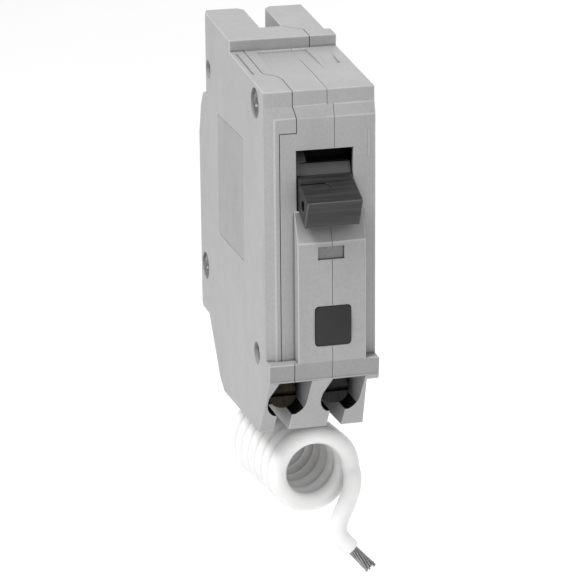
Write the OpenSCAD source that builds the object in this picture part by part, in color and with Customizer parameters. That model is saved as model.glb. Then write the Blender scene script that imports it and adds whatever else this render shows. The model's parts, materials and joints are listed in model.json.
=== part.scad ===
// One-pole plug-in ground-fault circuit breaker with a coiled neutral pigtail.
// X runs across the module, Y from the user towards the panel, Z up. The origin is the
// centre of the back rest face. Inside the modules, Y is measured from the shoulder face
// and Z from the ledge above the wire terminals; seated() moves a piece to the mount.

/* [Case] */
// Width of the one-inch module
module_w = 25.4; // [25.2:0.1:25.6]
// Depth from the shoulder face to the back rest face
case_depth = 63.3; // [63.2:0.1:63.6]
// How far the nose stands proud of the shoulders
nose_proud = 3; // [2.5:0.1:3.5]
// Thickness of the moulded walls
wall = 1.6; // [1.4:0.1:1.7]
// Left face of the nose
nose_left = -6.15; // [-6.4:0.05:-5.9]
// Right face of the nose
nose_right = 9.65; // [9.4:0.05:9.9]
// Width of the bevel down the left shoulder
shoulder_bevel = 2.3; // [2:0.1:2.6]

/* [Parting planes] */
// Parting plane between the left cover and the middle housing
left_split = -9.3; // [-9.4:0.05:-9.2]
// Parting plane between the middle housing and the right cover
mid_split = 1.8; // [1.7:0.05:1.9]

/* [Handle] */
// Width of the toggle lever
handle_w = 12.6; // [12.2:0.1:12.7]
// Radius of the handle's hub
hub_r = 6.2; // [5.8:0.1:6.3]
// Radius of the handle's pivot pin
handle_pin_r = 1.5; // [1.2:0.05:1.6]
// Radial running clearance on pivots
running = 0.05; // [0.03:0.01:0.08]

/* [Contact mechanism] */
// Angle by which the contact arm stands open
arm_open = 20; // [18:1:22]
// Radius of the contact buttons
contact_r = 1.9; // [1.6:0.1:2]
// Number of steel plates in the arc chute
chute_plates = 4; // [3:1:4]

/* [Terminals] */
// Radius of the terminal bays
bay_r = 4.6; // [4.4:0.1:4.6]
// Width of the wire slot under each bay
wire_slot = 3.6; // [3.4:0.1:3.8]
// Radius of the terminal screws
screw_r = 2; // [1.8:0.1:2]
// Width of the slot between the prongs
stab_slot = 5.1; // [5:0.1:5.2]

/* [Test button] */
// Width of the test button's hole
button_w = 8.45; // [8.2:0.05:8.6]
// Height of the test button's hole
button_h = 9.4; // [9.2:0.1:9.6]

/* [Pigtail] */
// Outer diameter of the pigtail's insulation
cord_d = 4.3; // [4.2:0.05:4.3]
// Mean radius of the pigtail's coil
coil_r = 8.75; // [8.6:0.05:8.75]
// Turns in the coil
coil_turns = 7; // [7:1:7]
// Distance between neighbouring turns
coil_pitch = 4.35; // [4.3:0.05:4.4]
// Angle of the coil's axis to the case, seen from above
coil_yaw = 6.3; // [6:0.1:6.6]

/* [Hidden] */

$fn = 48;
eps = 0.01;

case_grey = [0.69, 0.69, 0.69];
dark_grey = [0.2, 0.2, 0.2];
copper = [0.75, 0.5, 0.36];
brass = [0.74, 0.65, 0.42];
steel = [0.66, 0.67, 0.69];
silver = [0.8, 0.8, 0.82];
white = [0.94, 0.94, 0.93];
board_green = [0.13, 0.4, 0.24];
black = [0.08, 0.08, 0.08];

half_w = module_w / 2;
rest_z = 16;                     // height of the mount's centre above the terminal ledge
ledge_y = -nose_proud;           // front of the ledge and of the nose
bottom_front_z = -19.3;          // underside of the case, at the front
bottom_back_z = -20.9;           // underside of the case, at the back
toe_y = 7.5;                     // front of the underside
heel_y = 41.4;                   // back of the underside
foot_z = -5.7;                   // underside of the rail foot
inner_left = -half_w + 1.5;      // inner faces of the two side walls
inner_right = half_w - 1.5;
partition_x = mid_split - 1.5;   // left face of the partition
slot_left = -3.1;                // left wall of the stab slot
slot_right = slot_left + stab_slot;
slot_front_y = 40.5;
slot_floor_z = 47;
step_y = 31.6;                   // front of the upper step
step_left_split = 6.3;           // parting plane on the upper step

function top_z(y) = 61.8 + (y - 0.8) * 2.6 / 30.8;   // sloping top of the second level

outline = [[0, 55.7], [0.8, 58.4], [0.8, 61.8], [step_y, top_z(step_y)], [step_y, 67],
  [57, 69.1], [58.4, 68.4], [58.4, 53], [57.6, 50.6], [61.3, 45.2], [case_depth, 38],
  [case_depth, foot_z + 1], [case_depth - 1, foot_z], [56, foot_z], [45.5, -18.8],
  [heel_y, bottom_back_z], [toe_y, bottom_front_z], [ledge_y, -4.2], [ledge_y, 0], [0, 0]];

chamber = [[wall, -2.8], [wall, 54.9], [2.4, top_z(2.4) - wall], [39, top_z(39) - wall],
  [39, 45.2], [59, 45.2], [case_depth - wall, 37.6], [case_depth - wall, foot_z + wall],
  [55, foot_z + wall], [44.3, -17.6], [40.9, -19], [28.5, -18.5], [28.5, -12.9],
  [17.6, -12.9], [17.6, -2.8]];

bay_left_x = -7.6;
bay_right_x = 4.9;
bay_z = -10.6;
bay_top_z = -4.3;
bay_floor_z = -14.4;
bay_cut = [1.6, 4.4];            // width and height of the cut upper left corner of each bay
bay_back_y = 16;
slot_back_y = 27;
screw_z = -10;
wire_y = 13;                     // centre of the wire bore in each lug
wire_r = 1.7;

handle_axis = [7.4, 41.3];
handle_x0 = -5.25;
handle_x1 = handle_x0 + handle_w;
window_x0 = -5.5;
window_x1 = 7.6;
window_z0 = 34.6;
window_z1 = 48.4;

arm_axis = [16.5, 38];
arm_x0 = -6.2;
arm_x1 = -3.8;
arm_mid = (arm_x0 + arm_x1) / 2;
contact_y = 31.6;
arm_top_z = 52.4;
contact_t = 0.9;

cradle_axis = [12.5, 54.5];
armature_axis = [40, 6];
plunger_axis = [5.9, 37];        // x and z of the solenoid's axis

button_x0 = -2.3;
button_x1 = button_x0 + button_w;
button_z0 = 3.7;
button_z1 = button_z0 + button_h;
lens_x0 = -1.5;
lens_x1 = 4.6;
lens_z0 = 23.85;
lens_z1 = 26.9;

rivets = [[8.2, 57.9, 3.5, 0.7], [58.6, 5.8, 3.3, 0.7], [8.9, -0.6, 2.6, 1.4]];
rivet_r = 1.6;

// The coil hangs under the case; its first turn starts at the right, one cord behind the tail.
cord_r = cord_d / 2;
coil_start = [1.6, 11.3, -31.75];
coil_tilt = 0.6;
coil_len = coil_turns * coil_pitch;
lead_x = 6.7;
lead_y = 44.5;
tail_route = [[10.3, 12.2, -31.75], [10.5, 11.3, -34.2], [10.05, 10.8, -37.2], [8.75, 10.3, -40.2],
  [7.3, 9.9, -43.1], [6.45, 9.5, -45.5], [6.6, 9.1, -47.3], [7.6, 8.9, -48.9], [9.3, 8.7, -50.85]];
lead_route = [[lead_x, lead_y, -8], [lead_x, lead_y, -15], [lead_x, lead_y, -21.5],
  [6.85, 44.2, -25.2], [6.95, 43.5, -28.8], [6.95, 42.6, -32]];
braid_route = [[-4.6, 45.1, 27], [-3.2, 44.9, 30], [-1.4, 43, 31.4], [-1.3, 39, 31.5],
  [-1.6, 35, 32.8], [-3.2, 30, 35.6], [-5, 24.8, 39.2]];

// Moves a piece from the case's working axes to the mount on the back rest face.
module seated() translate([0, -case_depth, -rest_z]) children();

// Box given by its two opposite corners.
module box(a, b) translate(a) cube(b - a);

// Solid of a YZ outline between two X values.
module slab(x0, x1, points)
  translate([x0, 0, 0]) rotate([90, 0, 90]) linear_extrude(x1 - x0) polygon(points);

// Cylinder along X, from x0 to x1, at a YZ point.
module bar_x(x0, x1, at, r) translate([x0, at.x, at.y]) rotate([0, 90, 0]) cylinder(h = x1 - x0, r = r);

// Cylinder along Y, from y0 to y1, at an XZ point.
module bar_y(y0, y1, at, r) translate([at.x, y0, at.y]) rotate([-90, 0, 0]) cylinder(h = y1 - y0, r = r);

// Turns children about an X axis through a YZ point.
module turned(axis, angle)
  translate([0, axis.x, axis.y]) rotate([angle, 0, 0]) translate([0, -axis.x, -axis.y]) children();

// Round tube swept along a route, with flat ends.
function side_dir(t) = let(s = cross(t, [2, 1, 0])) s / norm(s);
function tangent(p, i) = let(d = p[min(i + 1, len(p) - 1)] - p[max(i - 1, 0)]) d / norm(d);
function ring(p, i, r, n) = let(t = tangent(p, i), u = side_dir(t), v = cross(t, u))
  [for (k = [0 : n - 1]) p[i] + r * (cos(k * 360 / n) * u + sin(k * 360 / n) * v)];
module swept(p, r, n) {
  last = len(p) - 1;
  sides = [for (i = [0 : last - 1]) for (k = [0 : n - 1])
    let(a = i * n + k, b = i * n + (k + 1) % n) each [[a, b, b + n], [a, b + n, a + n]]];
  polyhedron(points = [for (i = [0 : last]) each ring(p, i, r, n)],
    faces = concat([[for (k = [n - 1 : -1 : 0]) k]], sides, [[for (k = [0 : n - 1]) last * n + k]]),
    convexity = 8);
}

// The whole moulded case as one outer solid, before it is parted.
module case_solid() {
  difference() {
    union() {
      slab(-half_w, half_w, outline);
      slab(nose_left, nose_right, [[0.5, 34.5], [0, 34.5], [ledge_y, 27.9], [ledge_y, -0.5], [0.5, -0.5]]);
    }
    // bevel down the left shoulder
    linear_extrude(60) polygon([[-half_w - 1, -0.01], [shoulder_bevel - half_w, -0.01],
      [-half_w - eps, 0.8], [-half_w - 1, 0.8]]);
    // tapered flank of the right leg
    translate([0, 0, bottom_back_z - 1]) linear_extrude(-5.3 - bottom_back_z + 1)
      polygon([[9.8, ledge_y - 0.2], [half_w + 0.02, 12], [half_w + 3, 12], [half_w + 3, ledge_y - 0.2]]);
    // stab slot between the prongs
    box([slot_left, slot_front_y, slot_floor_z], [slot_right, case_depth + 1, 71]);
    // outer face of the right prong, and the two prongs' back corners
    box([11.3, 36.5, 60], [half_w + 1, 60, 71]);
    translate([0, 0, 49]) linear_extrude(22) polygon([[-half_w - 1, 55.2], [-half_w, 55.2], [-11.4, 58.5],
      [-11.4, 60], [-half_w - 1, 60]]);
    translate([0, 0, 49]) linear_extrude(22)
      polygon([[slot_left + 0.5, 55.6], [slot_left, 55.6], [-5.6, 58.5], [-5.6, 60], [slot_left + 0.5, 60]]);
    translate([0, 0, 49]) linear_extrude(22)
      polygon([[slot_right - 0.5, 55.6], [slot_right, 55.6], [4.6, 58.5], [4.6, 60], [slot_right - 0.5, 60]]);
    // shallow panels and groove in the sloping top
    slab(-6.6, 5.3, [[14, top_z(14)], [30.6, top_z(30.6) - 0.5], [30.6, 66], [14, 66]]);
    slab(6.5, 10, [[27, top_z(27)], [18.3, top_z(18.3) - 0.55], [18.3, 66], [27, 66]]);
    slab(-11.7, -11.2, [[14, top_z(14) - 0.3], [30, top_z(30) - 0.3], [30, 66], [14, 66]]);
  }
}

// One terminal bay, open to the front, with its wire slot through the underside.
module bay(x) {
  intersection() {
    union() {
      bar_y(-6, bay_back_y, [x, bay_z], bay_r);
      box([x - bay_r, -6, bay_z], [x + bay_r, bay_back_y, bay_top_z]);
    }
    translate([x, bay_back_y, 0]) rotate([90, 0, 0]) linear_extrude(bay_back_y + 6)
      polygon([[-bay_r, bay_floor_z], [bay_r, bay_floor_z], [bay_r, bay_top_z],
        [bay_cut.x - bay_r, bay_top_z], [-bay_r, bay_top_z - bay_cut.y]]);
  }
  box([x - wire_slot / 2, -6, bottom_back_z - 1], [x + wire_slot / 2, slot_back_y, bay_floor_z + 1]);
  box([x - 2.6, bay_back_y - 1, -11.6], [x + 2.6, 17.7, -7.4]);
}

// Everything cut out of the parted shells, apart from the chamber.
module case_cuts() {
  bay(bay_left_x);
  bay(bay_right_x);
  box([window_x0, -4, window_z0], [window_x1, wall + 0.5, window_z1]);
  box([button_x0, -4, button_z0], [button_x1, wall + 0.5, button_z1]);
  box([lens_x0, -4, lens_z0], [lens_x1, -1, lens_z1]);
  for (r = rivets) {
    bar_x(-half_w - 1, half_w + 1, [r.x, r.y], rivet_r + 0.02);
    bar_x(-half_w - 1, r[3] - half_w, [r.x, r.y], r[2]);
    bar_x(half_w - 0.7, half_w + 1, [r.x, r.y], 2.9);
  }
  bar_x(-half_w - 1, 1.2 - half_w, [52.6, 55.7], 2.3);
  bar_x(inner_left - 1, inner_right + 1, handle_axis, handle_pin_r + 0.02);
  bar_x(inner_left - 1, mid_split - 0.3, arm_axis, 1.22);
  bar_x(inner_left - 1, mid_split - 0.3, cradle_axis, 1.22);
  bar_x(inner_left - 1, mid_split - 0.3, armature_axis, 1.02);
  translate([lead_x, lead_y, -24]) cylinder(h = 14, r = cord_r + 0.15);
  box([slot_left, 38.5, arm_top_z + 2.2], [-1.2, slot_front_y + 0.5, arm_top_z + 3.8]);
}

// Moulded posts that carry the rivets and pivot pins inside the chamber.
module posts(x0, x1) {
  intersection() {
    union() for (r = rivets) bar_x(x0, x1, [r.x, r.y], 3.4);
    slab(x0, x1, outline);
  }
}

// Everything that belongs to the left cover, including its laps over the other two shells.
module left_region() {
  box([-half_w - 1, -10, -30], [left_split, 70, 80]);
  box([-half_w - 1, -10, -4.9], [-7, -0.2, 0.01]);
  // lap above the handle, which tapers on the front and runs out on the sloping top
  translate([0, 9.4, 0]) rotate([90, 0, 0]) linear_extrude(19.4)
    polygon([[-half_w - 1, 52.4], [-5.4, 52.4], [-5.4, 55.7], [-6.1, 58.4], [-6.1, 80], [-half_w - 1, 80]]);
  translate([0, 0, 58.4]) linear_extrude(22)
    polygon([[-half_w - 1, 9.3], [-6.1, 9.3], [-6.7, 11.6], [-9, 14], [left_split, 14.8],
      [-half_w - 1, 14.8]]);
  translate([0, 0, top_z(step_y)]) linear_extrude(20)
    polygon([[-half_w - 1, step_y - eps], [step_left_split, step_y - eps], [step_left_split, 36.8],
      [slot_right, slot_front_y], [slot_left + 1, slot_front_y], [slot_left + 1, 70],
      [-half_w - 1, 70]]);
}

// Everything to the right of the middle housing's seam, which steps over above the handle.
module right_region() difference() {
  box([mid_split, -10, -30], [half_w + 1, 70, 80]);
  box([mid_split - 1, -10, window_z1 - 1], [3.2, 0.8, 58.4]);
}

module left_cover() color(case_grey) seated()
  difference() {
    intersection() {
      case_solid();
      left_region();
    }
    difference() {
      slab(inner_left, partition_x, chamber);
      posts(inner_left, left_split);
      bar_x(inner_left - eps, -10.4, handle_axis, 3);
      bar_x(inner_left - eps, -9.9, arm_axis, 2.4);
      bar_x(inner_left - eps, -9.9, cradle_axis, 2.4);
      bar_x(inner_left - eps, -9.9, armature_axis, 2.2);
    }
    case_cuts();
    box([-half_w - 1, 20, 18], [0.12 - half_w, 43.5, 47]);
  }

module middle_housing() color(case_grey) seated()
  difference() {
    intersection() {
      case_solid();
      box([left_split, -10, -30], [half_w, 70, 80]);
    }
    left_region();
    right_region();
    difference() {
      slab(left_split - eps, partition_x, chamber);
      posts(left_split - 1, partition_x + eps);
      bar_x(-0.6, partition_x + eps, arm_axis, 2.4);
      bar_x(-0.6, partition_x + eps, cradle_axis, 2.4);
      bar_x(-0.6, partition_x + eps, armature_axis, 2.2);
    }
    case_cuts();
    // the partition opens round the handle, the test button, the trip lever and the conductors
    bar_x(partition_x - 1, mid_split + 1, handle_axis, hub_r + 0.8);
    box([partition_x - 1, wall, window_z0], [mid_split + 1, 4.5, window_z1]);
    box([partition_x - 1, wall, 2.4], [mid_split + 1, 8.6, 14.4]);
    box([partition_x - 1, 36.5, 30.5], [mid_split + 1, 44, 41]);
    bar_x(partition_x - 1, mid_split + 1, [40, 16], 3.4);
  }

module right_cover() color(case_grey) seated()
  difference() {
    intersection() {
      case_solid();
      right_region();
    }
    left_region();
    difference() {
      slab(mid_split - eps, inner_right, chamber);
      posts(mid_split - 1, inner_right + eps);
      bar_x(9.6, inner_right + eps, handle_axis, 3);
      box([1, 8.6, 4], [inner_right + eps, 9.8, 12.6]);
      box([9, wall - eps, 1.5], [inner_right + eps, 4, 2.5]);
    }
    case_cuts();
  }

// Tubular rivets: a flared end on the left and a flat head on the right.
module case_rivets() color(steel) seated()
  for (r = rivets) {
    head_x = r[3] - half_w;
    difference() {
      union() {
        bar_x(head_x - 0.5, half_w - 0.4, [r.x, r.y], rivet_r);
        bar_x(head_x - 0.5, head_x, [r.x, r.y], min(r[2] - 0.3, 2.9));
        bar_x(half_w - 0.7, half_w - 0.1, [r.x, r.y], 2.7);
      }
      bar_x(head_x - 1, head_x + 4, [r.x, r.y], 1.1);
    }
  }

module rating_label() color([0.74, 0.74, 0.74]) seated()
  box([-half_w, 20.1, 18.1], [0.12 - half_w, 43.4, 46.9]);

// Toggle handle, drawn in its lower position.
lever = [[4, 46.2], [2.6, 44.6], [1.2, 42.4], [0.2, 42.1], [-8.6, 38.6], [-5.7, 32.2], [1, 35.5], [4, 36]];
module handle() color(dark_grey) seated()
  difference() {
    union() {
      bar_x(handle_x0, handle_x1, handle_axis, hub_r);
      slab(handle_x0, handle_x1, lever);
    }
    bar_x(handle_x0 - 1, handle_x1 + 1, handle_axis, handle_pin_r + running);
    // relief behind the drum's shoulder, arrow groove and side pocket
    box([-2.6, -1, 45.1], [handle_x1 + 1, 6.2, 49]);
    turned([0.2, 42.1], 21.7) box([handle_x0 - 1, -2.6, 41.85], [0.6, -2, 43]);
    bar_x(handle_x0 - 1, handle_x0 + 1.2, [-4.4, 37], 1.2);
  }

module handle_pin() color(steel) seated()
  bar_x(inner_left + 0.1, inner_right - 0.1, handle_axis, handle_pin_r);

// Contact arm outline with the contacts closed; it is drawn swung open.
arm_outline = [[14.6, 36.8], [16.4, 36], [18.4, 37], [27, 49.6], [33.4, 49.9], [33.4, arm_top_z - 1],
  [25.6, arm_top_z - 1], [15.2, 40]];
module contact_arm() color(copper) seated() turned(arm_axis, -arm_open)
  difference() {
    slab(arm_x0, arm_x1, arm_outline);
    bar_x(arm_x0 - 1, arm_x1 + 1, arm_axis, 1.2 + running);
  }

module moving_contact() color(silver) seated() turned(arm_axis, -arm_open)
  translate([arm_mid, contact_y, arm_top_z - 1]) cylinder(h = contact_t, r = contact_r);

module arm_pin() color(steel) seated() bar_x(inner_left + 0.1, mid_split - 0.4, arm_axis, 1.2);

// Close-wound operating spring that lies beside the contact arm.
module operating_spring() color(steel) seated() turned(arm_axis, -arm_open)
  translate([-2, 19.5, 41.5]) rotate([-35, 0, 0]) difference() {
    cylinder(h = 8, r = 1.4);
    translate([0, 0, -1]) cylinder(h = 10, r = 0.9);
  }

cradle_outline = [[10.6, 53.2], [11.8, 56.2], [14.4, 56.4], [29, 45], [38.9, 34.4], [38.9, 32], [36, 32],
  [26.6, 42.2]];
module cradle() color(steel) seated()
  difference() {
    slab(-9, -7.6, cradle_outline);
    bar_x(-10, -7, cradle_axis, 1.2 + running);
  }

module cradle_pin() color(steel) seated() bar_x(inner_left + 0.1, mid_split - 0.4, cradle_axis, 1.2);

// Armature that latches the cradle; its arm reaches across to the solenoid.
module armature() color(steel) seated()
  difference() {
    union() {
      box([-9.2, 39.4, 6], [-3, 40.6, 39.5]);
      box([-9.2, 39.4, 33.6], [8, 40.6, 39.5]);
      bar_x(-9.2, -3, armature_axis, 1.9);
    }
    bar_x(-10, 0, armature_axis, 1 + running);
  }

module armature_pin() color(steel) seated() bar_x(inner_left + 0.1, mid_split - 0.4, armature_axis, 1);

module fixed_contact() color(silver) seated()
  translate([arm_mid, contact_y, arm_top_z + 0.1]) cylinder(h = 2.2, r = contact_r);

module line_strap() color(copper) seated() {
  box([-7, 28.6, arm_top_z + 2.3], [-3.7, 38.4, arm_top_z + 3.7]);
  box([-3.7, 36.6, arm_top_z + 2.3], [-1.3, 38.4, arm_top_z + 3.7]);
  box([-3, 38.4, arm_top_z + 2.3], [-1.3, slot_front_y + 0.6, arm_top_z + 3.7]);
}

jaw_x = (slot_left + slot_right) / 2;
jaw_y0 = slot_front_y + 0.6;
module line_jaw() color(copper) seated() {
  for (side = [-1, 1]) box([jaw_x + side * 1.7 - 0.35, jaw_y0, 49], [jaw_x + side * 1.7 + 0.35, 55, 60.5]);
  box([jaw_x - 1.35, jaw_y0, 49], [jaw_x + 1.35, jaw_y0 + 1, 60.5]);
}

module jaw_spring() color(steel) seated()
  for (side = [-1, 1]) box([jaw_x + side * 2.25 - 0.2, jaw_y0, 51], [jaw_x + side * 2.25 + 0.2, 54, 58.5]);

// Slotted steel plates in a stack, open to the arm's sweep.
module arc_chute_plates() color(steel) seated()
  for (i = [0 : chute_plates - 1]) translate([0, 0, 46.2 + 2 * i]) difference() {
    box([-9.3, 32, 0], [-0.7, 38.6, 0.8]);
    box([-7.3, 30, -1], [-2.7, 38, 2]);
  }

module arc_chute_sides() color([0.5, 0.36, 0.26]) seated()
  for (x = [-10.1, -0.7]) box([x, 32, 45.7], [x + 0.8, 38.8, 53.4]);

module bimetal() color(brass) seated() box([-8.5, 46, 1.1], [-3.5, 46.9, 32]);

module magnet_yoke() color(steel) seated() difference() {
  box([-10, 43.6, 12], [-2, 50, 22]);
  box([-9, 43, 11], [-3, 48.8, 23]);
}

module calibration_screw() color(brass) seated() {
  bar_y(47, 52, [-6, 9], 1.3);
  bar_y(52, 53.4, [-6, 9], 2.4);
}

module flexible_braid() color(copper) seated() swept(braid_route, 0.9, 8);

// Terminal strap from a lug, up behind the bay and back along the chamber.
module strap(x, back_y) slab(x - 2.4, x + 2.4, [[15.9, -11.4], [15.9, -7.6], [17.8, -7.6], [17.8, 1],
  [back_y, 1], [back_y, -0.4], [19.2, -0.4], [19.2, -11.4]]);
module lug(x) difference() {
  box([x - 3.3, 8.5, -13.2], [x + 3.3, 15.8, -6.6]);
  translate([x, wire_y, -14]) cylinder(h = 8, r = wire_r);
  bar_y(7, 11.1, [x, screw_z], screw_r + running);
}
module terminal_screw(x) difference() {
  union() {
    bar_y(6, 8.4, [x, screw_z], 3.3);
    bar_y(8.3, 10.9, [x, screw_z], screw_r);
  }
  box([x - 4, 5, screw_z - 0.5], [x + 4, 7.2, screw_z + 0.5]);
}

module hot_strap() color(copper) seated() strap(bay_left_x, 48.4);
module hot_lug() color(steel) seated() lug(bay_left_x);
module hot_terminal_screw() color(brass) seated() terminal_screw(bay_left_x);
module neutral_strap() color(copper) seated() strap(bay_right_x, 34);
module neutral_lug() color(steel) seated() lug(bay_right_x);
module neutral_terminal_screw() color(silver) seated() terminal_screw(bay_right_x);

core_axis = [40, 16];
module core(x0, x1) difference() {
  bar_x(x0, x1, core_axis, 8);
  bar_x(x0 - 1, x1 + 1, core_axis, 3.6);
}
module sensing_transformer() color(black) seated() core(2, 5.2);
module neutral_transformer() color([0.3, 0.24, 0.16]) seated() core(5.6, 8.6);
module hot_conductor() color(black) seated() bar_x(-1, 9.2, [core_axis.x - 1.5, core_axis.y], 1.2);
module neutral_conductor() color(white) seated() bar_x(2.2, 9.2, [core_axis.x + 1.5, core_axis.y], 1.2);

board_x = 9.6;
module circuit_board() color(board_green) seated() box([board_x, 12.4, -1.5], [board_x + 1.2, 54.5, 32]);

module solenoid_bobbin() color(white) seated() difference() {
  union() {
    bar_y(19, 20, plunger_axis, 3.8);
    bar_y(34, 35, plunger_axis, 3.8);
    bar_y(20, 34, plunger_axis, 2.5);
  }
  bar_y(18, 36, plunger_axis, 1.8 + running);
}
module solenoid_winding() color(copper) seated() difference() {
  bar_y(20.05, 33.95, plunger_axis, 3.5);
  bar_y(19, 35, plunger_axis, 2.52);
}
module solenoid_frame() color(steel) seated() difference() {
  box([2.1, 18, 32.8], [9.5, 36, 41.2]);
  box([1, 18.95, 33.1], [10, 35.05, 43]);
  bar_y(17, 37, plunger_axis, 2.1);
}
module solenoid_plunger() color(steel) seated() bar_y(17, 39.2, plunger_axis, 1.8);

module varistor() color([0.16, 0.28, 0.5]) seated() bar_x(6.4, board_x, [19, 22], 4.4);
module storage_capacitor() color(black) seated() translate([6.2, 27.5, 4]) cylinder(h = 11, r = 3);
module controller_chip() color(black) seated() box([board_x - 1.6, 24, 19.5], [board_x, 31.5, 24.5]);
module rectifier_diodes() color(black) seated()
  for (i = [0 : 3]) translate([board_x - 1.2, 14.5 + 2.6 * i, 6]) cylinder(h = 5, r = 1);
module resistors() color([0.72, 0.6, 0.44]) seated()
  for (i = [0 : 2]) bar_y(27, 32.5, [board_x - 1.2, 27.4 + 2.2 * i - 1], 0.9);

// Test button with a retaining flange behind the nose.
module test_button() color(dark_grey) seated() {
  slab(button_x0 + 0.12, button_x1 - 0.12, [[wall + 0.9, button_z0 + 0.12], [ledge_y - 0.1, button_z0 + 0.12],
    [ledge_y - 0.45, 8.4], [ledge_y - 0.1, button_z1 - 0.12], [wall + 0.9, button_z1 - 0.12]]);
  box([button_x0 - 0.7, wall + 0.1, button_z0 - 0.7], [button_x1 + 0.7, wall + 1, button_z1 + 0.7]);
}
module button_spring() color(steel) seated() difference() {
  bar_y(wall + 1.05, 8.55, [3.9, 8.4], 1.7);
  bar_y(0, 10, [3.9, 8.4], 1.2);
}
module test_contact() color(brass) seated() box([8.4, 4.4, 4.2], [9.2, 8.4, 12.4]);

module indicator_lens() color([0.45, 0.45, 0.45]) seated()
  box([lens_x0 + 0.05, -2.4, lens_z0 + 0.05], [lens_x1 - 0.05, -1.02, lens_z1 - 0.05]);

module pigtail_crimp() color(copper) seated() translate([lead_x, lead_y, -8]) cylinder(h = 6, r = 2.3);
module pigtail_lead() color(white) seated() swept(lead_route, cord_r, 12);
module pigtail_coil() color(white) seated() translate(coil_start) rotate([-90 - coil_tilt, 0, coil_yaw])
  rotate_extrude($fn = 64) translate([coil_r - cord_r, -cord_r]) square([cord_d, coil_len + cord_d]);
module pigtail_tail() color(white) seated() swept(tail_route, cord_r, 12);

strand_from = tail_route[len(tail_route) - 1];
strand_dir = tangent(tail_route, len(tail_route) - 1);
strand_len = 7.8;
strand_r = 1.2;
strand_tilt = acos(strand_dir.z);
strand_turn = atan2(strand_dir.y, strand_dir.x);
module pigtail_strands() color(silver) seated()
  translate(strand_from) rotate([0, strand_tilt, strand_turn]) cylinder(h = strand_len, r = strand_r);

left_cover();
middle_housing();
right_cover();
case_rivets();
rating_label();
handle();
handle_pin();
contact_arm();
moving_contact();
arm_pin();
operating_spring();
cradle();
cradle_pin();
armature();
armature_pin();
fixed_contact();
line_strap();
line_jaw();
jaw_spring();
arc_chute_plates();
arc_chute_sides();
bimetal();
magnet_yoke();
calibration_screw();
flexible_braid();
hot_strap();
hot_lug();
hot_terminal_screw();
neutral_strap();
neutral_lug();
neutral_terminal_screw();
sensing_transformer();
neutral_transformer();
hot_conductor();
neutral_conductor();
circuit_board();
solenoid_bobbin();
solenoid_winding();
solenoid_frame();
solenoid_plunger();
varistor();
storage_capacitor();
controller_chip();
rectifier_diodes();
resistors();
test_button();
button_spring();
test_contact();
indicator_lens();
pigtail_crimp();
pigtail_lead();
pigtail_coil();
pigtail_tail();
pigtail_strands();
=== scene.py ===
"""Looks of a one-pole plug-in ground-fault breaker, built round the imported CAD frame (metres, row frame)."""

import bpy
import bmesh
import json
import math
import random
from mathutils import Matrix, Vector


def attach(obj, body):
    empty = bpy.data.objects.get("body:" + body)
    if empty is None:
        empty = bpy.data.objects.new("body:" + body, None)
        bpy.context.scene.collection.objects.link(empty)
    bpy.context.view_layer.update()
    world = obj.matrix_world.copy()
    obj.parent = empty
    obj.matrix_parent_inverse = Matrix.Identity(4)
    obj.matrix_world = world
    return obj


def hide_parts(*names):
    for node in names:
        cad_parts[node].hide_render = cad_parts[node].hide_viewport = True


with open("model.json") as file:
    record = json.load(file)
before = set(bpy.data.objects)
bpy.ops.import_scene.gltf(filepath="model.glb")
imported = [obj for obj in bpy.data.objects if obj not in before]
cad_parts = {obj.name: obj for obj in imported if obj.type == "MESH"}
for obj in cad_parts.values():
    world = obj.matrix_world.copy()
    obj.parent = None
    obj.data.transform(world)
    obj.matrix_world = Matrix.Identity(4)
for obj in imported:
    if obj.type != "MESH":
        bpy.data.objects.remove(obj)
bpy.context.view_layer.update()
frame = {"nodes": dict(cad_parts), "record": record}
random.seed(7)

MM = 0.001
REST = Vector((0, -63.3, -16))   # working axes (shoulder face, terminal ledge) to the row frame
TAU = 2 * math.pi
WELD = 3e-6                      # metres, within which two corners are one
FLAT = math.radians(0.4)         # faces nearer to level than this are one face

# places of the case in the working axes, in millimetres
HALF_WIDTH = 12.7
NOSE_Y = -3.0
CLOSE_X = 1.8                    # joint between the middle housing and the right cover
BAY_X = (-7.6, 4.9)
WINDOW_X, WINDOW_Z = (-2.3, 6.15), (3.7, 13.1)   # of the test button
COIL_CENTRE = (40, 16)           # of the two transformers, in y and z

# material indices; 0 is the piece's own finish
SHADED_GROOVE, SHADED_CHAMBER, SHELL_HIGHLIGHT, SHADED_BAY, SHADED_LEDGE, SHADOWED_SLOPE = 1, 2, 3, 4, 5, 6    # on the shells: painted shade in the seams, chamber, bays, ledge and slope, and a painted highlight on the rounded edges
HANDLE_HIGHLIGHT, SHADED_HOLLOW, DRUM = 1, 2, 3                                 # on the handle: a painted highlight on the rounded edges, painted black shade in the hollows, and the lighter drum
SECOND = 1                                                     # on a piece with two finishes


def row(x, y, z):
    """A point of the case's working axes, in millimetres, as a point of the row frame."""
    return (Vector((x, y, z)) + REST) * MM


def working(p):
    """A point of the row frame in the case's working axes, in millimetres."""
    return [c / MM - r for c, r in zip(p, REST)]


def grey(value):
    return (value, value, value)


def place(name, data):
    """A new object of the scene that shows the data."""
    o = bpy.data.objects.new(name, data)
    bpy.context.scene.collection.objects.link(o)
    return o


# ---------------------------------------------------------------- camera
CAMERA_TURN = (-14.833, 17.357, -0.5)            # azimuth, elevation and roll in degrees
CAMERA_TARGET = (-1.031, -38.3, -6.963)          # millimetres
CAMERA_DISTANCE = 0.643085
CAMERA_LENS, CAMERA_SENSOR = 172.79, 36.0


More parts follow.
